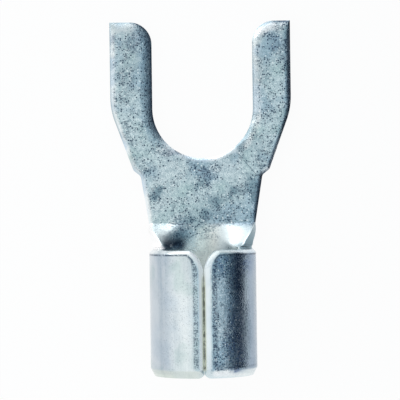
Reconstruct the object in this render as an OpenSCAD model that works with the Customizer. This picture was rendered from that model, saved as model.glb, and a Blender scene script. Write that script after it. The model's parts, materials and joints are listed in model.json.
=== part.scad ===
// Fork terminal stamped from one tinned copper sheet: a flat fork, a curled neck
// and a barrel rolled round until its edges butt. It lies on its back, seam up.

/* [Sheet] */
// Thickness of the sheet
sheet_t = 0.8; // [0.6:0.05:0.9]

/* [Barrel] */
// Outside diameter of the rolled barrel
barrel_d = 5.5; // [5.2:0.1:6.4]
// Length of the barrel
barrel_len = 6.45; // [5:0.05:8]
// Rounding of the outside edge at the tongue end
rim_r = 0.18; // [0.1:0.02:0.35]
// Length of the bevel round the wire end
mouth_bevel_len = 0.4; // [0.2:0.05:1]
// Depth of the bevel round the wire end
mouth_bevel_depth = 0.2; // [0.1:0.02:0.4]

/* [Seam] */
// Gap between the butted edges
seam_gap = 0.1; // [0.06:0.02:0.3]
// Rounding of the butted edges along the outside
seam_edge_r = 0.3; // [0.2:0.05:0.5]
// Width of each rounded corner of the sheet at the tongue end of the seam
seam_corner_w = 0.7; // [0.3:0.05:1]
// Length along the seam of those corners
seam_corner_len = 1.05; // [0.4:0.05:1.5]
// Width of each rounded corner of the sheet at the wire end of the seam
mouth_corner_w = 0.28; // [0.1:0.02:0.5]
// Length along the seam of those corners
mouth_corner_len = 0.2; // [0.1:0.05:0.5]
// Turn of the seam off the middle, in degrees
seam_turn = 0.5; // [-6:0.5:6]

/* [Neck] */
// Length of the curled neck between the barrel and the flat tongue
neck_len = 1.35; // [1:0.05:2]
// Width of the sheet at the neck
neck_w = 5.6; // [5:0.1:6]
// Radius in the blank where the neck opens into the barrel's wings
neck_fillet_r = 0.45; // [0.2:0.05:0.6]
// Lean of the neck's flanks where they reach the barrel, in degrees
flank_lean = 50; // [30:1:60]

/* [Fork] */
// Width over both tines
fork_w = 9.5; // [9:0.1:11]
// Width of the slot for the stud
slot_w = 5.3; // [4.3:0.1:5.5]
// Depth of the slot from the tips to its round end
slot_depth = 7.2; // [6:0.1:9]
// Distance of the slot from the middle of the fork
slot_shift = 0.1; // [-0.3:0.05:0.3]
// Radius of the tips beside the slot
tip_r = 1.15; // [0.5:0.05:1.5]
// Length of the bevel across the tips
tip_bevel_len = 0.6; // [0.2:0.05:1]
// Depth of the bevel across the tips
tip_bevel_depth = 0.25; // [0.1:0.05:0.4]
// Length of the straight outer edge of a tine
tine_straight = 4.6; // [3.5:0.1:5.5]
// Radius where that edge turns towards the stem
tine_bend_r = 3.7; // [1:0.1:5]
// Width of the bevel that the press leaves along the fork's upper edges
edge_w = 0.25; // [0.1:0.05:0.4]
// Depth of that bevel
edge_drop = 0.16; // [0.08:0.02:0.3]

/* [Stem] */
// Length of the flat stem between the neck and the slot
stem_len = 3.4; // [3:0.1:5]
// Width of the stem at its upper end
stem_w = 6.4; // [6.1:0.1:6.8]
// Width over the shoulders above the stem
shoulder_w = 7.15; // [7:0.05:8]
// Distance of the shoulders from the neck
shoulder_y = 2.5; // [1.8:0.05:3]
// Rise of the shoulders from the stem to their full width
shoulder_rise = 0.3; // [0.2:0.05:0.6]

/* [Hidden] */
$fn = 96;
barrel_r = barrel_d / 2;
bore_r = barrel_r - sheet_t;
mid_r = barrel_r - sheet_t / 2;
bend_y = barrel_len + neck_len;
slot_end_y = bend_y + stem_len;
slot_mid_y = slot_end_y + slot_w / 2;
tip_y = slot_end_y + slot_depth;
// How far a cutter reaches past what it cuts
past = 1;
// How far the bevels of the fork's edges reach past the metal
over = 0.3;
// How far the neck reaches into the tongue and into the barrel's wall
lap = 0.4;
// How far the lapped neck stays inside the faces that it laps
inset = 0.01;
// Depth of the butted edges' arc centres as a share of their radius
sink = 0.9;
// Steps of a rounded corner of the sheet, and the power that flattens it
corner_steps = 8;
corner_power = 4 / 3;
// Power with which the round takes in the neck's flanks close to the rim
closing_power = 24;
// Stations along the neck and steps across it
stations = 16;
steps = 30;

function unit(v) = v / norm(v);

// What the arc of radius r takes off the corner p between the edges towards a and b
module corner_sliver(a, p, b, r) {
    to_a = unit(a - p);
    to_b = unit(b - p);
    half = acos(to_a * to_b) / 2;
    run = r / tan(half);
    c = p + unit(to_a + to_b) * r / sin(half);
    on_a = p + to_a * run;
    on_b = p + to_b * run;
    spare = 0.3;
    difference() {
        polygon([c, on_a + spare * (on_a - c), p + spare * (p - c), on_b + spare * (on_b - c)]);
        translate(c) circle(r);
    }
}

// Right half of the flat tongue, from the bend at the neck to the tip
foot = [neck_w / 2, bend_y];
stem_top = [stem_w / 2, bend_y + shoulder_y];
shoulder = [shoulder_w / 2, bend_y + shoulder_y + shoulder_rise];
tine_bend = [fork_w / 2, tip_y - tine_straight];
tip_out = [fork_w / 2, tip_y];
tip_in = [slot_w / 2, tip_y];
slot_side = [slot_w / 2, slot_mid_y];

module half_outline() {
    difference() {
        polygon([[0, bend_y], foot, stem_top, shoulder, tine_bend, tip_out, [0, tip_y]]);
        corner_sliver(shoulder, tine_bend, tip_out, tine_bend_r);
    }
}

module slot_outline() {
    translate([0, slot_mid_y]) circle(d = slot_w);
    translate([-slot_w / 2, slot_mid_y]) square([slot_w, tip_y - slot_mid_y + past]);
    for (side = [0, 1])
        mirror([side, 0])
            corner_sliver(tip_out, tip_in, slot_side, tip_r);
}

// Section of an edge's bevel, with the edge at the origin and the metal at +X
module edge_section() {
    slope = edge_drop / edge_w;
    polygon([
        [edge_w + over, slope * over],
        [-over, -edge_drop - slope * over],
        [-over, slope * over]
    ]);
}

// Bevel along the straight edge from a to b, with the metal on its left
module edge_cut(a, b) {
    along = b - a;
    translate(a)
        rotate(atan2(along.y, along.x))
            rotate([90, 0, 90])
                linear_extrude(norm(along)) edge_section();
}

// Bevel round an arc from one angle to another, with the metal outside the arc or inside it
module arc_cut(c, r, from, to, outside) {
    translate(c)
        rotate(from)
            rotate_extrude(angle = to - from)
                translate([r, 0]) mirror([outside ? 0 : 1, 0]) edge_section();
}

// Both straight bevels run on to the corner, where they meet across its arc
module outer_edge() {
    slant = over * unit(tine_bend - shoulder);
    edge_cut(shoulder - slant, tine_bend + slant);
    edge_cut(tine_bend - [0, over], tip_out + [0, over]);
}

module slot_edge() {
    on_slot = tip_in - [0, tip_r];
    arc_cut(on_slot + [tip_r, 0], tip_r, 90, 180, false);
    edge_cut(on_slot, slot_side);
}

module tongue() {
    difference() {
        linear_extrude(sheet_t)
            difference() {
                union() {
                    half_outline();
                    mirror([1, 0]) half_outline();
                }
                translate([slot_shift, 0]) slot_outline();
            }
        tip_bevel();
        translate([0, 0, sheet_t]) fork_edges();
    }
}

// Bevels along the upper edges of both tines and round the slot
module fork_edges() {
    for (side = [0, 1]) {
        mirror([side, 0]) outer_edge();
        translate([slot_shift, 0]) mirror([side, 0]) slot_edge();
    }
    arc_cut([slot_shift, slot_mid_y], slot_w / 2, 180, 360, true);
}

// Wedge that thins both tips towards their ends
module tip_bevel() {
    slope = tip_bevel_depth / tip_bevel_len;
    translate([-fork_w / 2 - past, 0, 0])
        rotate([90, 0, 90])
            linear_extrude(fork_w + 2 * past)
                polygon([
                    [tip_y - tip_bevel_len - past, sheet_t + slope * past],
                    [tip_y + past, sheet_t - tip_bevel_depth - slope * past],
                    [tip_y + past, sheet_t + slope * past]
                ]);
}

// The sheet across the neck has the barrel's own round in its middle and straight flanks
// beside it. Station u runs from 0 at the bend, where all is flat, to 1 at the rim, where
// the round takes in all the sheet. Its reach is in degrees to each side. The middle stays
// level with the tongue all the way.
function round_reach(u) =
    let(v = max(0, min(1, u)))
    flank_lean * v + (180 - flank_lean) * pow(v, closing_power);
function opening(u) = max(0, neck_fillet_r - neck_len * (1 - min(1, u)));
function half_w(u) = neck_w / 2 + neck_fillet_r - sqrt(pow(neck_fillet_r, 2) - pow(opening(u), 2));
function sheet_point(u, s, off) =
    let(
        reach = round_reach(u),
        lean = max(-reach, min(reach, s / mid_r * 180 / PI)),
        flank = s - lean * PI / 180 * mid_r
    )
    [
        (mid_r - off) * sin(lean) + flank * cos(lean),
        bend_y - neck_len * u,
        barrel_r + flank * sin(lean) - (mid_r - off) * cos(lean)
    ];
function section(u) =
    let(w = half_w(u) - inset, off = sheet_t / 2 - inset)
    concat(
        [for (j = [0:steps]) sheet_point(u, w * (2 * j / steps - 1), off)],
        [for (j = [steps:-1:0]) sheet_point(u, w * (2 * j / steps - 1), -off)]
    );

module neck() {
    along = [for (i = [0:stations]) sin(90 * i / stations)];
    us = concat([-lap / neck_len], along, [1 + lap / neck_len]);
    ring = 2 * (steps + 1);
    last = (len(us) - 1) * ring;
    polyhedron(
        points = [for (u = us) each section(u)],
        faces = concat(
            [for (j = [0:steps - 1]) [ring - 1 - j, ring - 2 - j, j + 1, j]],
            [for (i = [0:ring:last - ring], k = [0:ring - 1])
                let(a = i + k, b = i + (k + 1) % ring)
                each [[a, b, b + ring], [a, b + ring, a + ring]]],
            [for (j = [0:steps - 1]) [last + j, last + j + 1, last + ring - 2 - j, last + ring - 1 - j]]
        ),
        convexity = 6
    );
}

// Section of the barrel's wall: rounded at the tongue end, bevelled at the wire end
module wall_section() {
    difference() {
        polygon([
            [bore_r, 0],
            [barrel_r - mouth_bevel_depth, 0],
            [barrel_r, mouth_bevel_len],
            [barrel_r, barrel_len],
            [bore_r, barrel_len]
        ]);
        corner_sliver([barrel_r, 0], [barrel_r, barrel_len], [bore_r, barrel_len], rim_r);
    }
}

// Groove and gap where the rounded edges of the rolled sheet butt. The arcs' centres
// lie less than a radius deep, so they meet the outside at a slight angle.
module seam_section() {
    x = seam_gap / 2 + seam_edge_r;
    z = sqrt(pow(barrel_r - sink * seam_edge_r, 2) - pow(x, 2));
    reach = 1.5;
    difference() {
        polygon([[-x, z], [x, z], reach * [x, z], reach * [-x, z]]);
        for (side = [-1, 1])
            translate([side * x, z]) circle(seam_edge_r);
    }
    translate([-seam_gap / 2, 0]) square([seam_gap, barrel_r]);
}

// Notch that the two rounded corners of the sheet leave at an end of the seam. Each
// runs from the gap to the end as a quarter of a flattened ellipse, and a little past both.
function corner_point(w, run, t) =
    [seam_gap / 2 + w * (1 - pow(cos(t), corner_power)), -run * (1 - pow(sin(t), corner_power))];
module seam_notch(w, run) {
    arc = [for (i = [0:corner_steps]) corner_point(w, run, 90 * i / corner_steps)];
    first = arc[0] + (arc[0] - arc[1]) / 2;
    last = arc[corner_steps] + (arc[corner_steps] - arc[corner_steps - 1]) / 2;
    right = concat([first], arc, [last, [last.x, past]]);
    linear_extrude(barrel_r + past)
        polygon(concat(right, [for (i = [len(right) - 1:-1:0]) [-right[i].x, right[i].y]]));
}

module barrel() {
    translate([0, 0, barrel_r])
        difference() {
            rotate([-90, 0, 0]) rotate_extrude() wall_section();
            rotate([0, seam_turn, 0]) {
                translate([0, barrel_len + past, 0])
                    rotate([90, 0, 0])
                        linear_extrude(barrel_len + 2 * past) seam_section();
                translate([0, barrel_len, 0]) seam_notch(seam_corner_w, seam_corner_len);
                mirror([0, 1, 0]) seam_notch(mouth_corner_w, mouth_corner_len);
            }
        }
}

module fork_terminal() {
    color([0.72, 0.76, 0.78])
        translate([0, -tip_y / 2, 0]) {
            tongue();
            neck();
            barrel();
        }
}

fork_terminal();
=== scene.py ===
import json
import math
from types import SimpleNamespace
import bpy
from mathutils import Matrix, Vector, kdtree
from mathutils.geometry import delaunay_2d_cdt


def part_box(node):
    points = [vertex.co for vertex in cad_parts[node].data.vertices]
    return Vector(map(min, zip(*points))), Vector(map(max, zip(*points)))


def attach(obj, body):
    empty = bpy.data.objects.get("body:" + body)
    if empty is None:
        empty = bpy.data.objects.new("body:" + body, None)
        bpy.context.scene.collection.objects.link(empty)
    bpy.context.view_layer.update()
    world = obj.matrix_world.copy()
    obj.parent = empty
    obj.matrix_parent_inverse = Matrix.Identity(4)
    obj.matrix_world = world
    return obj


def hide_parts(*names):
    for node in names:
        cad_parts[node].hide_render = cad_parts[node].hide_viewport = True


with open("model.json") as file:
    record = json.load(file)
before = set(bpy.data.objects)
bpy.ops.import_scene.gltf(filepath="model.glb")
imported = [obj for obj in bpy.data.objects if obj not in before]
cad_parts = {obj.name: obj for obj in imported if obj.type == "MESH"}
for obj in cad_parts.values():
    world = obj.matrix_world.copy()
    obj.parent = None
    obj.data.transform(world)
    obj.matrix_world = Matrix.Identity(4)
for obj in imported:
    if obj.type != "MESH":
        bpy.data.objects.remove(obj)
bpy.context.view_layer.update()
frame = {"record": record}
mm = 0.001

# sizes that the frame already holds
mounts = {mount["name"]: mount for mount in frame["record"]["mounts"]}
low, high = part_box("fork_terminal")
sheet = mounts["stud_slot"]["dims"]["length_mm"] * mm
slotR = mounts["stud_slot"]["dims"]["r_mm"] * mm
slotX, slotMidY = mounts["stud_slot"]["pos_m"][:2]
boreR = mounts["wire_barrel"]["dims"]["r_mm"] * mm
barrelR = boreR + sheet
midR = boreR + sheet / 2
mouthY, tipY, forkHalf = low.y, high.y, high.x
rimY = mouthY + mounts["wire_barrel"]["dims"]["length_mm"] * mm
print("frame read: sheet %.2f mm, barrel %.2f mm across" % (sheet / mm, 2 * barrelR / mm))


# node helpers: a Tap is an output socket that can be used in sums, a Bench makes nodes in one tree
class Tap:
    def __init__(self, bench, socket):
        self.bench = bench
        self.socket = socket

    def __add__(self, other):
        return self.bench.maths("ADD", self, other)

    def __radd__(self, other):
        return self.bench.maths("ADD", other, self)

    def __sub__(self, other):
        return self.bench.maths("SUBTRACT", self, other)

    def __rsub__(self, other):
        return self.bench.maths("SUBTRACT", other, self)

    def __mul__(self, other):
        return self.bench.maths("MULTIPLY", self, other)

    def __rmul__(self, other):
        return self.bench.maths("MULTIPLY", other, self)

    def __truediv__(self, other):
        return self.bench.maths("DIVIDE", self, other)

    def __rtruediv__(self, other):
        return self.bench.maths("DIVIDE", other, self)

    def __pow__(self, other):
        return self.bench.maths("POWER", self, other)


class Bench:
    def __init__(self, tree):
        self.tree = tree

    def add(self, kind, settings=None, sockets=None, out=0):
        made = self.tree.nodes.new(kind)
        for key, value in (settings or {}).items():
            setattr(made, key, value)
        for key, value in (sockets or {}).items():
            if isinstance(value, Tap):
                self.tree.links.new(value.socket, made.inputs[key])
            else:
                made.inputs[key].default_value = value
        return Tap(self, made.outputs[out]) if made.outputs else made

    def maths(self, operation, *values):
        return self.add("ShaderNodeMath", {"operation": operation}, dict(enumerate(values)))

    def smooth(self, value, start, end):                 # 0 at start, 1 at end, eased
        span = {"Value": value, "From Min": start, "From Max": end}
        return self.add("ShaderNodeMapRange", {"interpolation_type": "SMOOTHSTEP"}, span)

    def fade(self, value, start, end):                   # 1 at start, 0 at end, eased
        return 1 - self.smooth(value, start, end)

    def most(self, first, *others):
        for other in others:
            first = self.maths("MAXIMUM", first, other)
        return first

    def tint(self, share, plain, mixed):                 # colours are mixed here, never in sums
        return self.add("ShaderNodeMix", {"data_type": "RGBA"}, {0: share, 6: plain, 7: mixed}, out=2)


# the flat blank, as it leaves the press
blank = {
    "neckLen": 1.35 * mm, "neckHalf": 2.8 * mm, "neckFillet": 0.45 * mm,
    "stemHalf": 3.2 * mm, "stemTop": 2.5 * mm,          # heights are above the bend
    "shoulderHalf": 3.575 * mm, "shoulderRise": 0.3 * mm, "shoulderR": 0.25 * mm,
    "tineStraight": 4.6 * mm, "tineBendR": 3.7 * mm, "tipR": 1.15 * mm,
    "seamGap": 0.02 * mm, "seamTurn": 0.5,
    "rimCorner": (0.7 * mm, 1.05 * mm), "mouthCorner": (0.28 * mm, 0.2 * mm),
    "cornerSteps": 10, "cornerPower": 4 / 3,             # the wings' corners are flattened ellipses
    "step": 0.08 * mm,                                   # between points on the outline
    "leastStep": 0.2,                                    # points nearer than this share of a step are dropped
    "mitreLeast": 0.5,                                   # keeps the normals at sharp corners short
    "grid": 0.12 * mm, "rowShare": 0.866,                # between points inside it, and their rows
    "gridClear": 1.1,                                    # share of a roll's width that the grid stays out of
    "rings": 5, "ringPower": 1.3, "ringClear": 0.97,     # rows of points across a rolled edge
    "weld": 1e-9,                                        # metres
    "insetMost": 2.0,                                    # millimetres past which the inset isn't counted
    "creaseAngle": 42,                                   # edges that turn more than this stay sharp
    "rollBlend": 6,                                      # steps over which one roll runs into the next
    # rolled edges: width and depth on the upper face, then on the under face, and 1 for flat to 2 for round
    "rolls": {
        "mouth": (0.10, 0.08, 0.40, 0.20, 1.0), "seam": (0.10, 0.08, 0.34, 0.22, 1.7),
        "rim": (0.10, 0.08, 0.18, 0.14, 1.7), "neck": (0.10, 0.05, 0.10, 0.05, 1.7),
        "stem": (0.26, 0.13, 0.14, 0.07, 1.8), "tine": (0.33, 0.18, 0.14, 0.07, 1.8),
        "tip": (0.60, 0.24, 0.16, 0.08, 1.5), "slot": (0.50, 0.27, 0.14, 0.07, 1.8),
        "slotLeft": (0.85, 0.34, 0.14, 0.07, 2.0),
        "slotEnd": (0.22, 0.11, 0.14, 0.07, 1.8),
    },
}
bendY = rimY + blank["neckLen"]


def outlineCorners():
    halfTurn = math.pi * midR - blank["seamGap"] / 2
    shift = math.radians(blank["seamTurn"]) * midR
    stemTopY = bendY + blank["stemTop"]
    side = [                                             # right side: x, y, corner radius, edge that follows
        (blank["neckHalf"], rimY, blank["neckFillet"], "neck"),
        (blank["neckHalf"], bendY, 0, "stem"),
        (blank["stemHalf"], stemTopY, blank["shoulderR"], "stem"),
        (blank["shoulderHalf"], stemTopY + blank["shoulderRise"], blank["shoulderR"], "stem"),
        (forkHalf, tipY - blank["tineStraight"], blank["tineBendR"], "tine"),
        (forkHalf, tipY, 0, "tip"),
        (slotR, tipY, blank["tipR"], "slot"),
        (slotR, slotMidY - slotR, slotR, "slotEnd"),
    ]
    shifts = [0] * (len(side) - 2) + [slotX] * 2         # the slot sits a little off the middle
    follows = [corner[3] for corner in side]
    follows = ["slotLeft" if kind == "slot" else kind for kind in follows[-2::-1]] + ["rim"]
    mirrored = [(off - x, y, r, kind) for (x, y, r, _), kind, off in zip(side[::-1], follows, shifts[::-1])]
    side = [(off + x, y, r, kind) for (x, y, r, kind), off in zip(side, shifts)]
    rightWing = (wingCorner(halfTurn - shift, -1, mouthY, 1, "mouthCorner", "mouth")[::-1]
                 + wingCorner(halfTurn - shift, -1, rimY, -1, "rimCorner", "rim"))
    leftWing = (wingCorner(-halfTurn - shift, 1, rimY, -1, "rimCorner", "rim")[::-1]
                + wingCorner(-halfTurn - shift, 1, mouthY, 1, "mouthCorner", "mouth"))
    return rightWing + side + mirrored + leftWing


def wingCorner(seamX, inward, endY, down, size, endKind):    # from the seam's edge round to the wing's end
    width, length = blank[size]
    spots = []
    for i in range(blank["cornerSteps"] + 1):
        t = math.pi / 2 * i / blank["cornerSteps"]
        x = seamX + inward * width * (1 - math.cos(t) ** blank["cornerPower"])
        y = endY + down * length * (1 - math.sin(t) ** blank["cornerPower"])
        spots.append((x, y, 0, "seam" if t < math.pi / 4 else endKind))
    return spots


def traceOutline(corners):
    points, rolls = [], []
    arcs = []
    for i, (x, y, radius, kind) in enumerate(corners):
        corner = Vector((x, y))
        before = (Vector(corners[i - 1][:2]) - corner).normalized()
        after = (Vector(corners[(i + 1) % len(corners)][:2]) - corner).normalized()
        half = before.angle(after) / 2
        run = radius / math.tan(half)
        centre = corner + (before + after).normalized() * radius / math.sin(half)
        start, end = corner + before * run, corner + after * run
        bows = max(1, round(radius * (math.pi - 2 * half) / blank["step"]))
        turn = (start - centre).angle_signed(end - centre) if radius else 0
        arc = []
        for j in range(bows + 1 if radius else 1):
            spoke = start - centre
            a = -turn * j / bows
            arc.append(centre + Vector((spoke.x * math.cos(a) - spoke.y * math.sin(a),
                                        spoke.x * math.sin(a) + spoke.y * math.cos(a))))
        arcs.append(arc)
    for i, arc in enumerate(arcs):
        kindIn, kindOut = corners[i - 1][3], corners[i][3]
        for j, point in enumerate(arc):
            points.append(point)
            rolls.append(blank["rolls"][kindIn if 2 * j < len(arc) else kindOut])
        nextStart = arcs[(i + 1) % len(arcs)][0]
        length = (nextStart - arc[-1]).length
        pieces = max(1, round(length / blank["step"]))
        for j in range(1, pieces):
            points.append(arc[-1].lerp(nextStart, j / pieces))
            rolls.append(blank["rolls"][kindOut])
    least = blank["step"] * blank["leastStep"]
    keep = [i for i in range(len(points)) if (points[i] - points[i - 1]).length > least]
    points, rolls = [points[i] for i in keep], [rolls[i] for i in keep]
    spread = range(-blank["rollBlend"], blank["rollBlend"] + 1)
    eased = []
    for i in range(len(points)):
        near = [rolls[(i + d) % len(rolls)] for d in spread]
        row = [sum(roll[k] for roll in near) / len(near) for k in range(5)]
        eased.append([size * mm for size in row[:4]] + row[4:])
    return points, eased


def inwardNormals(points):
    normals = []
    for i, point in enumerate(points):
        back = (point - points[i - 1]).normalized()
        ahead = (points[(i + 1) % len(points)] - point).normalized()
        flow = (back + ahead).normalized()
        mitre = 1 / max(blank["mitreLeast"], flow.dot(ahead))
        normals.append(Vector((-flow.y, flow.x)) * mitre)
    return normals


def stampFace(points, normals, rolls, upper):
    first = 0 if upper else 2
    width = [row[first] for row in rolls]
    depth = [row[first + 1] for row in rolls]
    power = [row[4] for row in rolls]
    widest = max(width)
    tree = kdtree.KDTree(len(points))
    for i, point in enumerate(points):
        tree.insert((point.x, point.y, 0), i)
    tree.balance()

    def reach(point):                                    # share of the roll's width, and the drop there
        share, drop = math.inf, 0.0
        for co, i, d in tree.find_range((point.x, point.y, 0), widest + blank["step"]):
            tangent = Vector((normals[i].y, -normals[i].x)).normalized()
            gap = point - points[i]
            along = max(0, abs(gap.dot(tangent)) - blank["step"] / 2)
            across = abs(gap.x * tangent.y - gap.y * tangent.x)
            part = math.hypot(along, across) / width[i]
            share = min(share, part)
            if part < 1:
                drop = max(drop, depth[i] * (1 - part) ** power[i])
        return share, drop

    flat = list(points)
    for ring in range(1, blank["rings"] + 1):
        part = (ring / blank["rings"]) ** blank["ringPower"]
        for point, normal, w in zip(points, normals, width):
            inner = point + normal * w * part
            if reach(inner)[0] > part * blank["ringClear"]:
                flat.append(inner)
    xs, ys = [p.x for p in points], [p.y for p in points]
    grid, rise = blank["grid"], blank["grid"] * blank["rowShare"]
    rows, cols = int((max(ys) - min(ys)) / rise), int((max(xs) - min(xs)) / grid)
    for row in range(1, rows):
        for col in range(cols):
            spot = Vector((min(xs) + (col + 0.5 * (row % 2)) * grid, min(ys) + row * rise))
            co, i, d = tree.find((spot.x, spot.y, 0))
            within = (spot - points[i]).dot(normals[i]) > 0 and d > grid / 2
            if within and reach(spot)[0] > blank["gridClear"]:
                flat.append(spot)
    border = list(range(len(points)))
    made = delaunay_2d_cdt(flat, [], [border], 1, blank["weld"])
    spots, faces, origin = made[0], made[2], made[3]
    side = 1 if upper else -1
    solid = [(p.x, p.y, side * (sheet / 2 - reach(p)[1])) for p in spots]
    place = {}
    for new, olds in enumerate(origin):
        for old in olds:
            place[old] = new
    loops = [face if upper else face[::-1] for face in faces]
    inset = [min(blank["insetMost"], tree.find((p.x, p.y, 0))[2] / mm) for p in spots]
    return solid, loops, [place[i] for i in border], inset


def stampBlank():
    points, rolls = traceOutline(outlineCorners())
    normals = inwardNormals(points)
    upperCo, upperFaces, upperRim, upperInset = stampFace(points, normals, rolls, True)
    underCo, underFaces, underRim, underInset = stampFace(points, normals, rolls, False)
    lift = len(upperCo)
    faces = upperFaces + [[i + lift for i in face] for face in underFaces]
    count = len(points)
    for i in range(count):                               # the sheared wall between both faces
        j = (i + 1) % count
        faces.append([upperRim[j], upperRim[i], underRim[i] + lift, underRim[j] + lift])
    mesh = bpy.data.meshes.new("blank")
    mesh.from_pydata(upperCo + underCo, [], faces)
    mesh.validate()
    outside = mesh.attributes.new("outside", "FLOAT", "POINT")
    outside.data.foreach_set("value", [0.0] * lift + [1.0] * len(underCo))
    inset = mesh.attributes.new("inset", "FLOAT", "POINT")   # millimetres in from the sheared edge
    inset.data.foreach_set("value", upperInset + underInset)
    print("blank stamped: %d points round it, %d faces" % (count, len(mesh.polygons)))
    return mesh


# rolling the blank: flat at the bend, a trough with straight flanks down the neck, round from the rim down
forming = {
    "Middle Radius": midR, "Outer Radius": barrelR, "Bend Line": bendY, "Rim Line": rimY,
    "Flank Lean": math.radians(50), "Closing Power": 24.0,
}


def formingTree(material):
    tree = bpy.data.node_groups.new("rollForming", "GeometryNodeTree")
    tree.interface.new_socket("Geometry", in_out="INPUT", socket_type="NodeSocketGeometry")
    for name in forming:
        tree.interface.new_socket(name, in_out="INPUT", socket_type="NodeSocketFloat")
    tree.interface.new_socket("Geometry", in_out="OUTPUT", socket_type="NodeSocketGeometry")
    bench = Bench(tree)
    entry = tree.nodes.new("NodeGroupInput")
    size = {name: Tap(bench, entry.outputs[name]) for name in forming}
    place = bench.add("GeometryNodeInputPosition")
    split = bench.add("ShaderNodeSeparateXYZ", {}, {"Vector": place}).socket.node
    s, y, off = [Tap(bench, split.outputs[axis]) for axis in "XYZ"]
    rolled = (size["Bend Line"] - y) / (size["Bend Line"] - size["Rim Line"])
    u = bench.add("ShaderNodeClamp", {}, {"Value": rolled})
    reach = size["Flank Lean"] * u + (math.pi - size["Flank Lean"]) * u ** size["Closing Power"]
    bound = {"Value": s / size["Middle Radius"], "Min": 0 - reach, "Max": reach}
    lean = bench.add("ShaderNodeClamp", {}, bound)
    flank = s - lean * size["Middle Radius"]
    sinLean, cosLean = bench.maths("SINE", lean), bench.maths("COSINE", lean)
    radius = size["Middle Radius"] - off
    x = radius * sinLean + flank * cosLean
    z = size["Outer Radius"] + flank * sinLean - radius * cosLean
    formed = bench.add("ShaderNodeCombineXYZ", {}, {"X": x, "Y": y, "Z": z})
    shape = bench.add("GeometryNodeSetPosition", {}, {"Geometry": Tap(bench, entry.outputs["Geometry"]),
                                                      "Position": formed})
    shape = bench.add("GeometryNodeRealizeInstances", {}, {"Geometry": shape})
    shape = bench.add("GeometryNodeSetMaterial", {}, {"Geometry": shape, "Material": material})
    bench.add("NodeGroupOutput", {}, {"Geometry": shape})
    return tree


def rollTerminal(mesh, material):
    piece = bpy.data.objects.new("tinnedTerminal", mesh)
    bpy.context.scene.collection.objects.link(piece)
    roller = piece.modifiers.new("rollForming", "NODES")
    roller.node_group = formingTree(material)
    for item in roller.node_group.interface.items_tree:
        if item.in_out == "INPUT" and item.name in forming:
            roller[item.identifier] = forming[item.name]
    graph = bpy.context.evaluated_depsgraph_get()
    made = bpy.data.meshes.new_from_object(piece.evaluated_get(graph), depsgraph=graph)
    piece.modifiers.clear()
    piece.data = made
    made.shade_smooth()
    made.set_sharp_from_angle(angle=math.radians(blank["creaseAngle"]))
    print("terminal rolled: %d vertices" % len(made.vertices))
    return piece


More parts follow.
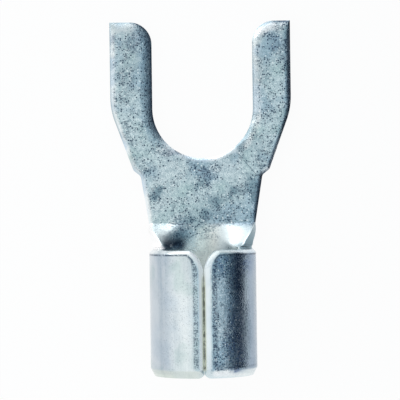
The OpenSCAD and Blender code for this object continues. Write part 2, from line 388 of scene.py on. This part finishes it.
# dull tin over copper: grainy, speckled and smeared, with fewer marks on the barrel's left half; some marks
# are painted shade, highlights and bounce light
rimAt, bendAt, mouthAt, tipAt = [line / mm for line in (rimY, bendY, mouthY, tipY)]
tin = {
    # pit and tarnish on the next line also serve as painted shade: dark tine rims, the trough blot, the
    # right-hand walls and the fork's outline
    "clean": (0.93, 0.97, 0.97, 1), "pit": (0.03, 0.06, 0.11, 1), "tarnish": (0.25, 0.35, 0.40, 1),
    # the pale burr on the next line: the seam's sheared faces, made pale as a painted highlight on its rolls
    "navy": (0.06, 0.13, 0.29, 1), "pale": (0.79, 0.86, 0.87, 1), "burr": (0.89, 0.92, 0.90, 1),
    # the dull blue-grey on the next line is painted shade and dark reflection for the barrel's sides
    "dull": (0.23, 0.31, 0.42, 1), "gap": (0.05, 0.06, 0.03, 1), "olive": (0.50, 0.52, 0.34, 1),
    "bluish": (0.36, 0.54, 0.72, 1), "greenish": (0.55, 0.70, 0.66, 1),
    # the warm tint on the next line is painted bounce light for the neck's middle
    "white": (1, 1, 1, 1), "warm": (1, 0.98, 0.90, 1),
    # noises: scale, detail and roughness
    "noises": {
        "fine": (15000.0, 2.0, 0.6), "mottle": (4800.0, 3.0, 0.65), "vein": (2600.0, 4.0, 0.6),
        "cluster": (1100.0, 3.0, 0.6), "streak": (900.0, 3.0, 0.6), "hue": (620.0, 2.0, 0.5),
        "cloud": (380.0, 3.0, 0.55),
    },
    "stretch": {"streak": (1.6, 0.16, 1.6)},             # drawn out along the barrel
    "dotScale": 11000.0, "dotLeast": 0.3, "dotMore": 0.35,
    "roughness": 0.2, "grainBump": 1.0, "grainDepth": 0.015 * mm,
    # marks: where each starts and ends, and how far it spreads, in millimetres
    "scratches": [((2.21, 1.89), (2.96, 1.01), 0.022), ((-0.38, -1.65), (-0.17, -1.44), 0.03),
                  ((-2.52, 2.63), (-2.83, 2.20), 0.02)],
    # dark smudges; the first two make one dark diagonal band, painted shade where it runs down the neck's left
    # trough wall
    "smears": [((1.6, 0.2), (0.2, -0.6), 0.6), ((0.2, -0.6), (-1.3, -2.2), 0.75),
               ((2.7, 0.0), (2.6, 0.9), 0.5), ((-0.5, 0.5), (0.1, 0.7), 0.4),
               ((-2.5, 0.0), (-2.2, 0.4), 0.4), ((2.85, 4.2), (2.0, 2.6), 0.35)],
    # painted shade on the next line: the dark blot on the neck's left trough wall, which turns away from the
    # light
    "soot": [((-1.8, -2.6), (-1.25, -2.55), 0.5)],
    "shadows": [((0.85, -3.4), (1.9, -3.45), 0.9), ((1.4, -7.3), (1.7, -8.5), 0.7),
                ((1.65, -3.4), (1.65, -4.5), 0.5), ((1.6, -6.3), (1.6, -8.7), 0.5)],
    # whitened spots: wear on the tongue, a paler patch on the barrel, and painted highlights on the right
    # tip's corner and the mouth bevel
    "rubbed": [((-2.3, -0.2), (-1.5, 1.5), 1.1), ((0.9, 1.6), (2.0, 1.1), 0.8),
               ((0.8, -4.4), (0.9, -6.9), 0.55), ((3.1, 8.6), (3.9, 8.9), 0.3),
               ((0.6, -8.95), (2.0, -8.95), 0.25)],
    # navy marks on the fork and tongue; the last one, low on the barrel's right half, is painted dark
    # reflection deepening the painted shadow band
    "blues": [((-4.5, 8.2), (-2.9, 8.0), 0.7), ((3.9, 7.9), (4.5, 8.4), 0.6),
              ((-2.4, 3.4), (-1.2, 2.1), 0.5), ((0.2, 1.2), (0.5, 0.8), 0.45),
              ((1.5, -6.0), (1.8, -8.7), 0.6)],
    "markCore": 0.2,                                     # share of a mark's spread that is at full strength
    # where regions begin and end, in millimetres along an axis
    "spans": {
        "barrelTop": (rimAt, bendAt), "neckTop": (bendAt - 0.3, bendAt + 0.05),
        "neckFoot": (rimAt + 0.3, rimAt + 0.9),
        "inBarrel": (rimAt - 0.5, rimAt - 0.05), "cornerFoot": (rimAt - 2.0, rimAt - 0.8),
        "cornerTurn": (rimAt - 1.1, rimAt - 0.2), "mouthBevel": (mouthAt + 0.32, mouthAt + 0.45),
        "seamFoot": (mouthAt + 0.3, mouthAt + 0.5), "lineFoot": (mouthAt + 0.45, mouthAt + 0.6),
        "tips": (tipAt - 0.75, tipAt - 0.45), "tines": (3.0, 4.0), "fork": (2.6, 3.4),
        "stemFoot": (bendAt, bendAt + 0.4), "stemTop": (1.2, 1.6), "stemSide": (2.2, 2.6),
        "wallFoot": (rimAt - 0.02, rimAt + 0.05), "wallTop": (bendAt + 1.0, bendAt + 2.0),
        "wallLeft": (-1.0, -0.5), "wallRight": (0.5, 1.0),
        "leftWing": (-0.5, 0.4), "rightWing": (-0.1, 0.2), "offMiddle": (0.5, 1.1), "rightHalf": (-0.5, 0.5),
        "leftTineIn": (-3.9, -3.3), "leftTineOut": (-2.4, -2.0), "rightTine": (3.6, 4.1),
        "flankTop": (4.6, 5.25), "flankFoot": (2.3, 3.5), "seamTop": (4.8, 5.1), "lowFlank": (4.1, 4.6),
        "speckFoot": (4.0, 4.6), "sparkFoot": (4.5, 4.9), "wingTint": (3.5, 4.5),
    },
    # the same, in from the sheared edge
    "edges": {
        "flank": (0.08, 0.25), "shadow": (0.2, 0.3), "shaded": (0.25, 0.75), "stem": (0.1, 0.4),
        "bare": (0.05, 0.3), "outline": (0.02, 0.12), "seamBand": (0.035, 0.12), "seamGap": (0.012, 0.055),
        "wall": (0.01, 0.05), "darkRim": (0.03, 0.16),
    },
    # the dotted press line: how far in it starts and how wide it is, and what each gains past the corner
    "line": {
        "inset": 0.19, "insetMore": 0.06, "insetRight": 0.12, "width": 0.07, "widthMore": 0.14,
        "dotMix": (0.6, 0.4), "dots": (0.39, 0.49), "dotsMore": 0.06,
        "startEase": (-0.03, 0.02), "endEase": (-0.04, 0.04), "faceEase": (-0.12, 0.02),
    },
    # between which values of its noise each mark comes in or fades out
    "cuts": {
        "speckEdge": (0.6, 1.0), "smear": (0.3, 0.6), "soot": (0.55, 0.95), "blue": (0.35, 0.65),
        "shadow": (0.3, 0.6), "seamGap": (0.37, 0.52), "darkRim": (0.34, 0.5), "crack": (0.004, 0.028),
        "veins": (0.46, 0.60), "specks": (0.26, 0.52), "sparks": (0.80, 0.92), "clouds": (0.44, 0.66),
        "bluish": (0.48, 0.64), "greenish": (0.34, 0.50), "streak": (0.45, 0.75), "mottle": (0.34, 0.62),
        "grain": (0.30, 0.66),
    },
    # how strongly each mark tints the plate
    "shares": {
        "clouds": 0.42, "bluish": 0.4, "greenish": 0.5, "warm": 0.6, "streak": 0.4, "wing": 0.25,
        "rubbed": 0.7, "blue": 0.35, "shadow": 0.7, "shaded": 0.12, "outline": 0.55, "smear": 0.85,
        "mottle": 0.45, "grain": 0.6, "sparks": 0.8, "specks": 0.95, "line": 0.9, "scratch": 0.85,
        "soot": 0.9, "veins": 0.7, "darkRim": 0.85, "seamBand": 0.7, "flank": 0.5, "lowFlank": 0.3,
        "mouth": 0.8, "tips": 0.15, "leftTip": 0.25, "burr": 0.5,
    },
    # what the barrel's left half loses of them, and what it gains
    "wingLess": {"clouds": 0.7, "bluish": 0.25, "flank": 0.1, "mouth": 0.4, "line": 0.2},
    "wingMore": {"dull": 0.08, "olive": 0.25, "burr": 0.5},
    "boreLess": 0.3, "rubbedLess": 0.7,                  # less pale in the bore, fewer clouds on the worn spots and painted highlights
    # how strongly each draws specks together, and what share of them is kept off the clean faces
    "crowding": {"cluster": 2.3, "dirt": 0.35, "blue": 0.5, "shaded": 0.4, "rubbed": 0.15,
                 "sparks": 0.3, "barrelSparks": 0.1, "clouds": 0.5},
    "sparedWing": 0.85, "spared": 0.8,
    "rougher": {"specks": 0.15, "clouds": 0.1, "inBarrel": 0.2, "neck": 0.06},
    "lessMetal": {"inBarrel": 0.5, "seamFace": 0.8}, "lessGrain": {"burnished": 0.7, "neck": 0.6},
}


def plateNoise(bench, place, name):
    scale, detail, rough = tin["noises"][name]
    stretch = tin["stretch"].get(name, (1, 1, 1))
    spot = bench.add("ShaderNodeVectorMath", {"operation": "MULTIPLY"}, {0: place, 1: stretch})
    return bench.add("ShaderNodeTexNoise", {}, {"Vector": spot, "Scale": scale, "Detail": detail,
                                                "Roughness": rough})


def nearLines(bench, at, lines):                         # 1 on lines from start to end, 0 at their width
    most = 0.0
    for start, end, width in lines:
        dx, dy = end[0] - start[0], end[1] - start[1]
        share = ((at.x - start[0]) * dx + (at.y - start[1]) * dy) / (dx * dx + dy * dy)
        share = bench.add("ShaderNodeClamp", {}, {"Value": share})
        gapX, gapY = at.x - start[0] - share * dx, at.y - start[1] - share * dy
        gap = bench.maths("SQRT", gapX * gapX + gapY * gapY)
        most = bench.most(most, bench.fade(gap, width * tin["markCore"], width))
    return most


def plateGrain(bench, place):
    grain = SimpleNamespace(**{name: plateNoise(bench, place, name) for name in tin["noises"]})
    grain.crack = bench.maths("ABSOLUTE", grain.vein - 0.5)
    cells = bench.add("ShaderNodeTexVoronoi", {}, {"Vector": place, "Scale": tin["dotScale"]}).socket.node
    lot = Tap(bench, cells.outputs["Color"])             # random for each cell
    chance = bench.add("ShaderNodeSeparateColor", {}, {"Color": lot}).socket.node
    grain.pick, size = Tap(bench, chance.outputs["Red"]), Tap(bench, chance.outputs["Green"])
    spread = Tap(bench, cells.outputs["Distance"]) / (tin["dotLeast"] + tin["dotMore"] * size)
    grain.speck = bench.fade(spread, *tin["cuts"]["speckEdge"])
    return grain


def plateRegions(bench, at, grain):
    span, edge, cut, press = tin["spans"], tin["edges"], tin["cuts"], tin["line"]
    on = SimpleNamespace()
    on.upper = 1 - at.outside
    on.barrel = at.outside * bench.fade(at.y, *span["barrelTop"])
    # the barrel's left half: fewer specks, clouds and veins, less blue, a whiter seam face and less grain
    on.burnished = on.barrel * bench.fade(at.x, *span["leftWing"])
    on.neck = on.upper * bench.fade(at.y, *span["neckTop"])
    on.offMiddle = bench.smooth(bench.maths("ABSOLUTE", at.x), *span["offMiddle"])
    on.inBarrel = on.upper * bench.fade(at.y, *span["inBarrel"])
    on.flank = on.barrel * bench.fade(at.z, *span["flankTop"]) * bench.smooth(at.z, *span["flankFoot"])
    on.flank = on.flank * bench.smooth(at.inset, *edge["flank"])
    on.mouth = on.barrel * bench.fade(at.y, *span["mouthBevel"])
    on.turned = bench.fade(at.y, *span["cornerTurn"])    # round the corner at the rim

    start = press["inset"] + on.turned * (press["insetMore"]
                                          + press["insetRight"] * bench.smooth(at.x, *span["rightWing"]))
    end = start + press["width"] + on.turned * press["widthMore"]
    dots = press["dotMix"][0] * grain.fine + press["dotMix"][1] * grain.mottle
    dots = bench.smooth(dots, *[value + press["dotsMore"] * on.turned for value in press["dots"]])
    on.line = bench.smooth(at.inset, *[start + ease for ease in press["startEase"]])
    on.line = on.line * bench.fade(at.inset, *[end + ease for ease in press["endEase"]]) * dots
    on.line = on.line * on.barrel * bench.smooth(at.y, *span["lineFoot"])

    alongSeam = on.barrel * bench.smooth(at.z, *span["seamTop"]) * bench.smooth(at.y, *span["seamFoot"])
    closed = alongSeam * bench.fade(at.y, *span["cornerFoot"])   # where both edges of the seam meet
    on.seamFace = alongSeam * bench.fade(at.inset, *[start + ease for ease in press["faceEase"]])
    on.seamBand = closed * bench.fade(at.inset, *edge["seamBand"])
    on.seamGap = closed * bench.fade(at.inset, *edge["seamGap"]) * bench.smooth(grain.mottle, *cut["seamGap"])

    leftTine = bench.smooth(at.x, *span["leftTineIn"]) * bench.fade(at.x, *span["leftTineOut"])
    tines = (leftTine + bench.smooth(at.x, *span["rightTine"])) * bench.smooth(at.y, *span["tines"])
    stem = bench.smooth(at.x, *span["stemSide"]) * bench.fade(at.y, *span["stemTop"])
    stem = stem * bench.smooth(at.y, *span["stemFoot"])
    on.shaded = on.upper * (tines * bench.fade(at.inset, *edge["shaded"])    # right-hand edges
                            + stem * bench.fade(at.inset, *edge["stem"]))
    on.tips = on.upper * bench.smooth(at.y, *span["tips"]) * (1 - on.shaded)
    on.outline = on.upper * bench.fade(at.inset, *edge["outline"]) * bench.smooth(at.y, *span["fork"])
    on.wall = bench.fade(at.inset, *edge["wall"]) * bench.smooth(at.y, *span["wallFoot"])
    on.wall = on.wall * bench.fade(at.y, *span["wallTop"])
    return on


# marks on the plate: dirt and wear, with painted shade (the shadow band, the trough blot, part of the diagonal
# band) and painted highlights among the whitened spots
def plateDirtAndShade(bench, at, grain, on):
    span, edge, cut = tin["spans"], tin["edges"], tin["cuts"]
    draw, spared = tin["crowding"], tin["spared"]
    dirt = SimpleNamespace()
    # smudges, and painted shade where the diagonal band runs down the neck's left side
    dirt.smear = nearLines(bench, at, tin["smears"]) * on.upper * bench.smooth(grain.cluster, *cut["smear"])
    # painted shade on the neck's left trough wall
    dirt.soot = nearLines(bench, at, tin["soot"]) * on.upper
    dirt.soot = dirt.soot * bench.smooth(grain.mottle + grain.cluster, *cut["soot"])
    dirt.blue = nearLines(bench, at, tin["blues"]) * bench.smooth(grain.cluster, *cut["blue"])
    dirt.scratch = nearLines(bench, at, tin["scratches"]) * on.upper
    dirt.rubbed = nearLines(bench, at, tin["rubbed"])
    dirt.shadow = nearLines(bench, at, tin["shadows"]) * on.barrel * bench.smooth(at.inset, *edge["shadow"])
    dirt.shadow = dirt.shadow * bench.smooth(grain.mottle, *cut["shadow"])

    crowd = (grain.cluster - 0.5) * draw["cluster"] + draw["dirt"] * (dirt.smear + dirt.soot + dirt.shadow)
    crowd = crowd + draw["blue"] * dirt.blue + draw["shaded"] * on.shaded - draw["rubbed"] * dirt.rubbed
    smoothNeck = on.neck * bench.most(on.offMiddle, bench.fade(at.y, *span["neckFoot"]))
    clear = 1 - spared * smoothNeck * (1 - bench.most(dirt.soot, dirt.smear))    # 0 where specks stay away
    clear = clear * (1 - tin["sparedWing"] * on.burnished) * (1 - on.seamFace)
    clear = clear * (1 - spared * on.mouth) * (1 - spared * on.tips)
    clear = clear * (1 - spared * on.barrel * bench.fade(at.z, *span["speckFoot"]))
    dirt.clear = clear * bench.most(bench.smooth(at.inset, *edge["bare"]), on.shaded)

    dirt.veins = bench.fade(grain.crack, *cut["crack"]) * bench.smooth(grain.cluster, *cut["veins"])
    dirt.veins = dirt.veins * dirt.clear * (1 - on.burnished)
    dirt.specks = grain.speck * bench.fade(grain.pick - crowd, *cut["specks"]) * dirt.clear
    bright = grain.pick + crowd * draw["sparks"] + draw["barrelSparks"] * on.barrel
    dirt.sparks = grain.speck * bench.smooth(bright, *cut["sparks"]) * dirt.clear
    dirt.sparks = dirt.sparks * (1 - on.barrel * bench.fade(at.z, *span["sparkFoot"]))
    dirt.clouds = bench.smooth(grain.cloud + (grain.cluster - 0.5) * draw["clouds"], *cut["clouds"])
    dirt.clouds = dirt.clouds * (1 - tin["wingLess"]["clouds"] * on.burnished)
    dirt.clouds = dirt.clouds * (1 - tin["rubbedLess"] * dirt.rubbed)
    return dirt


def plateColour(bench, at, grain, on, dirt):
    span, cut, share = tin["spans"], tin["cuts"], tin["shares"]
    less, more = tin["wingLess"], tin["wingMore"]
    colour = tin["clean"]

    def coat(amount, name):                              # the next tint over all before it
        nonlocal colour
        colour = bench.tint(amount, colour, tin[name])

    coat(dirt.clouds * share["clouds"], "tarnish")
    coat(bench.smooth(grain.hue, *cut["bluish"]) * (share["bluish"] - less["bluish"] * on.burnished), "bluish")
    coat(bench.fade(grain.hue, *cut["greenish"]) * share["greenish"], "greenish")
    coat(on.neck * (1 - tin["boreLess"] * on.inBarrel), "pale")
    # painted bounce light: a warm cast in the middle of the neck
    coat(on.neck * (1 - on.offMiddle) * share["warm"], "warm")
    coat(on.barrel * bench.smooth(grain.streak, *cut["streak"]) * share["streak"], "tarnish")
    # painted dark reflection: a blue cast over the barrel's right half, stronger higher up
    coat((on.barrel - on.burnished) * share["wing"] * bench.smooth(at.z, *span["wingTint"]), "bluish")
    # painted shade on the barrel's sides: heavier low on the right half, lighter on the left half, with a
    # trace over the whole left half
    low = share["lowFlank"] * bench.fade(at.z, *span["lowFlank"]) * (1 - on.burnished)
    flankShadeShare = share["flank"] + low - less["flank"] * on.burnished
    coat(on.flank * flankShadeShare + more["dull"] * on.burnished, "dull")
    coat(on.mouth * (share["mouth"] - less["mouth"] * on.burnished), "pale")
    coat(on.mouth * on.burnished * more["olive"], "olive")
    # whitened: wear, and painted highlights on the right tip's corner and the mouth bevel
    coat(dirt.rubbed * share["rubbed"] * (1 - on.flank), "white")
    # navy: the painted shadow band on the barrel's right half, and the blue marks
    coat(dirt.blue * share["blue"] + dirt.shadow * share["shadow"], "navy")
    coat(on.shaded * share["shaded"], "navy")
    # painted shade along the fork's edges, where they turn away from the light
    coat(on.outline * share["outline"], "tarnish")
    coat(on.tips * (share["tips"] + share["leftTip"] * bench.fade(at.x, *span["rightHalf"])), "tarnish")
    coat(dirt.smear * share["smear"], "tarnish")
    coat(dirt.clear * bench.fade(grain.mottle, *cut["mottle"]) * share["mottle"], "tarnish")
    coat(dirt.clear * bench.fade(grain.fine, *cut["grain"]) * share["grain"], "tarnish")
    coat(dirt.sparks * share["sparks"], "white")
    # the seam's sheared faces painted pale, and white on the left half: painted highlight on the seam's rolls
    coat(on.seamFace * (share["burr"] + more["burr"] * on.burnished), "burr")
    coat(on.seamFace * on.burnished, "white")
    # the sheared walls of the neck and stem: white on the left as a painted highlight, darker on the right as
    # painted shade
    coat(on.wall * bench.smooth(at.x, *span["wallRight"]), "tarnish")
    coat(on.wall * bench.fade(at.x, *span["wallLeft"]), "white")
    # painted shade: the very edge of the right-facing tine and stem rims blackened
    darkRim = on.shaded * bench.fade(at.inset, *tin["edges"]["darkRim"])
    darkRim = darkRim * bench.smooth(grain.mottle, *cut["darkRim"])
    line = on.line * (share["line"] - less["line"] * on.burnished * on.turned)
    coat(bench.most(dirt.specks * share["specks"], line, dirt.scratch * share["scratch"],
                    dirt.soot * share["soot"], dirt.veins * share["veins"], darkRim * share["darkRim"]), "pit")
    coat(on.seamBand * share["seamBand"], "olive")
    coat(on.seamGap, "gap")
    return colour


def tinPlate():
    material = bpy.data.materials.new("tinPlate")
    material.use_nodes = True
    bench = Bench(material.node_tree)
    shader = material.node_tree.nodes["Principled BSDF"]
    place = bench.add("ShaderNodeTexCoord", {}, {}, out="Object")
    split = bench.add("ShaderNodeSeparateXYZ", {}, {"Vector": place}).socket.node
    x, y, z = [Tap(bench, split.outputs[axis]) / mm for axis in "XYZ"]
    outside, inset = [bench.add("ShaderNodeAttribute", {"attribute_name": name}, {}, out="Fac")
                      for name in ("outside", "inset")]
    at = SimpleNamespace(x=x, y=y, z=z, outside=outside, inset=inset)
    grain = plateGrain(bench, place)
    on = plateRegions(bench, at, grain)
    dirt = plateDirtAndShade(bench, at, grain, on)
    colour = plateColour(bench, at, grain, on, dirt)
    more, metalLost, grainLost = tin["rougher"], tin["lessMetal"], tin["lessGrain"]
    rough = tin["roughness"] + more["specks"] * dirt.specks + more["clouds"] * dirt.clouds
    rough = rough + more["inBarrel"] * on.inBarrel + more["neck"] * on.neck
    metal = 1 - metalLost["inBarrel"] * on.inBarrel - metalLost["seamFace"] * on.seamFace
    height = grain.fine * (1 - grainLost["burnished"] * on.burnished) * (1 - grainLost["neck"] * on.neck)
    bump = bench.add("ShaderNodeBump", {}, {"Strength": tin["grainBump"], "Distance": tin["grainDepth"],
                                            "Height": height})
    for name, tap in (("Base Color", colour), ("Roughness", rough), ("Metallic", metal), ("Normal", bump)):
        material.node_tree.links.new(tap.socket, shader.inputs[name])
    print("tin mixed: %d nodes" % len(material.node_tree.nodes))
    return material


terminal = rollTerminal(stampBlank(), tinPlate())
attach(terminal, "root")
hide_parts("fork_terminal")

# floor, light and camera
studio = {
    "floorSize": 400 * mm, "floorPaint": (0.9, 0.9, 0.9, 1), "floorGlow": 0.94, "white": (1, 1, 1, 1),
    "skyLow": (0.86, 0.90, 0.93, 1), "skyHigh": (0.94, 0.97, 0.98, 1), "skyCrown": (0.66, 0.79, 0.83, 1),
    "skyRise": (0.05, 0.80), "crownRise": (0.87, 0.965),
    "boxAt": (-0.06, 0.11, 0.028), "boxSize": (0.24, 0.05), "boxPower": 0.06,
    "cardX": 0.022, "cardHeight": 0.06, "cardFoot": (0.018, 0.032, 0.06, 1), "cardTop": (0.48, 0.65, 0.75, 1),
    # near and far end of each dark card, and the heights between which it turns pale
    "cards": {"barrelFlag": (-0.014, -0.002, 0.009, 0.034), "forkFlag": (-0.002, 0.06, 0.004, 0.037)},
    "viewHeight": 110 * mm, "viewPlane": 2.75 * mm, "viewSpan": 20.64 * mm,
    "viewAt": (-0.1 * mm, -0.19 * mm), "viewRoll": -0.76, "sensor": 36, "clip": (1 * mm, 10),
}


def paleFloor():
    mesh = bpy.data.meshes.new("floor")
    half = studio["floorSize"] / 2
    corners = [(-half, -half, 0), (half, -half, 0), (half, half, 0), (-half, half, 0)]
    mesh.from_pydata(corners, [], [(0, 1, 2, 3)])
    floor = bpy.data.objects.new("floor", mesh)
    bpy.context.scene.collection.objects.link(floor)
    material = bpy.data.materials.new("paleFloor")
    material.use_nodes = True
    material.node_tree.nodes.clear()
    bench = Bench(material.node_tree)
    paint = bench.add("ShaderNodeBsdfDiffuse", {}, {"Color": studio["floorPaint"]})
    glow = bench.add("ShaderNodeEmission", {}, {"Color": studio["white"], "Strength": 1.0})
    path = bench.add("ShaderNodeLightPath").socket.node
    rays = ("Is Camera Ray", "Is Glossy Ray", "Is Transmission Ray")
    seen = [Tap(bench, path.outputs[name]) for name in rays]
    shown = bench.maths("MINIMUM", seen[0] + seen[1] + seen[2], 1.0) * studio["floorGlow"]
    mixed = bench.add("ShaderNodeMixShader", {}, {0: shown, 1: paint, 2: glow})
    bench.add("ShaderNodeOutputMaterial", {}, {"Surface": mixed})
    mesh.materials.append(material)


def studioWorld():
    world = bpy.data.worlds.new("studio")
    bpy.context.scene.world = world
    world.use_nodes = True
    world.node_tree.nodes.clear()
    bench = Bench(world.node_tree)
    way = bench.add("ShaderNodeTexCoord", {}, {}, out="Generated")
    up = Tap(bench, bench.add("ShaderNodeSeparateXYZ", {}, {"Vector": way}).socket.node.outputs["Z"])
    sky = bench.tint(bench.smooth(up, *studio["skyRise"]), studio["skyLow"], studio["skyHigh"])
    sky = bench.tint(bench.smooth(up, *studio["crownRise"]), sky, studio["skyCrown"])
    back = bench.add("ShaderNodeBackground", {}, {"Color": sky, "Strength": 1.0})
    bench.add("ShaderNodeOutputWorld", {}, {"Surface": back})


def softbox():
    lamp = bpy.data.lights.new("topBox", "AREA")
    lamp.shape = "RECTANGLE"
    lamp.size, lamp.size_y = studio["boxSize"]
    lamp.energy = studio["boxPower"]
    box = bpy.data.objects.new("topBox", lamp)
    box.location = studio["boxAt"]
    box.rotation_euler = (-Vector(studio["boxAt"])).to_track_quat("-Z", "Y").to_euler()
    box.visible_camera = False
    bpy.context.scene.collection.objects.link(box)


def darkCard(name, near, far, dark, pale):               # a studio flag, only there for the metal to reflect
    x, height = studio["cardX"], studio["cardHeight"]
    mesh = bpy.data.meshes.new(name)
    mesh.from_pydata([(x, near, 0), (x, far, 0), (x, far, height), (x, near, height)], [], [(0, 1, 2, 3)])
    card = bpy.data.objects.new(name, mesh)
    card.visible_camera = False
    bpy.context.scene.collection.objects.link(card)
    material = bpy.data.materials.new(name)
    material.use_nodes = True
    material.node_tree.nodes.clear()
    bench = Bench(material.node_tree)
    place = bench.add("ShaderNodeTexCoord", {}, {}, out="Object")
    z = Tap(bench, bench.add("ShaderNodeSeparateXYZ", {}, {"Vector": place}).socket.node.outputs["Z"])
    shade = bench.tint(bench.smooth(z, dark, pale), studio["cardFoot"], studio["cardTop"])
    glow = bench.add("ShaderNodeEmission", {}, {"Color": shade, "Strength": 1.0})
    bench.add("ShaderNodeOutputMaterial", {}, {"Surface": glow})
    mesh.materials.append(material)


def topCamera():
    lens = bpy.data.cameras.new("camera")
    camera = bpy.data.objects.new("camera", lens)
    lens.sensor_width = studio["sensor"]
    lens.lens = studio["sensor"] * studio["viewHeight"] / studio["viewSpan"]
    lens.clip_start, lens.clip_end = studio["clip"]
    camera.location = (*studio["viewAt"], studio["viewPlane"] + studio["viewHeight"])
    camera.rotation_euler = (0, 0, math.radians(studio["viewRoll"]))
    bpy.context.scene.collection.objects.link(camera)
    bpy.context.scene.camera = camera


paleFloor()
studioWorld()
softbox()
for cardName, cardSizes in studio["cards"].items():
    darkCard(cardName, *cardSizes)
topCamera()
bpy.context.scene.view_settings.view_transform = "Standard"
print("studio set")
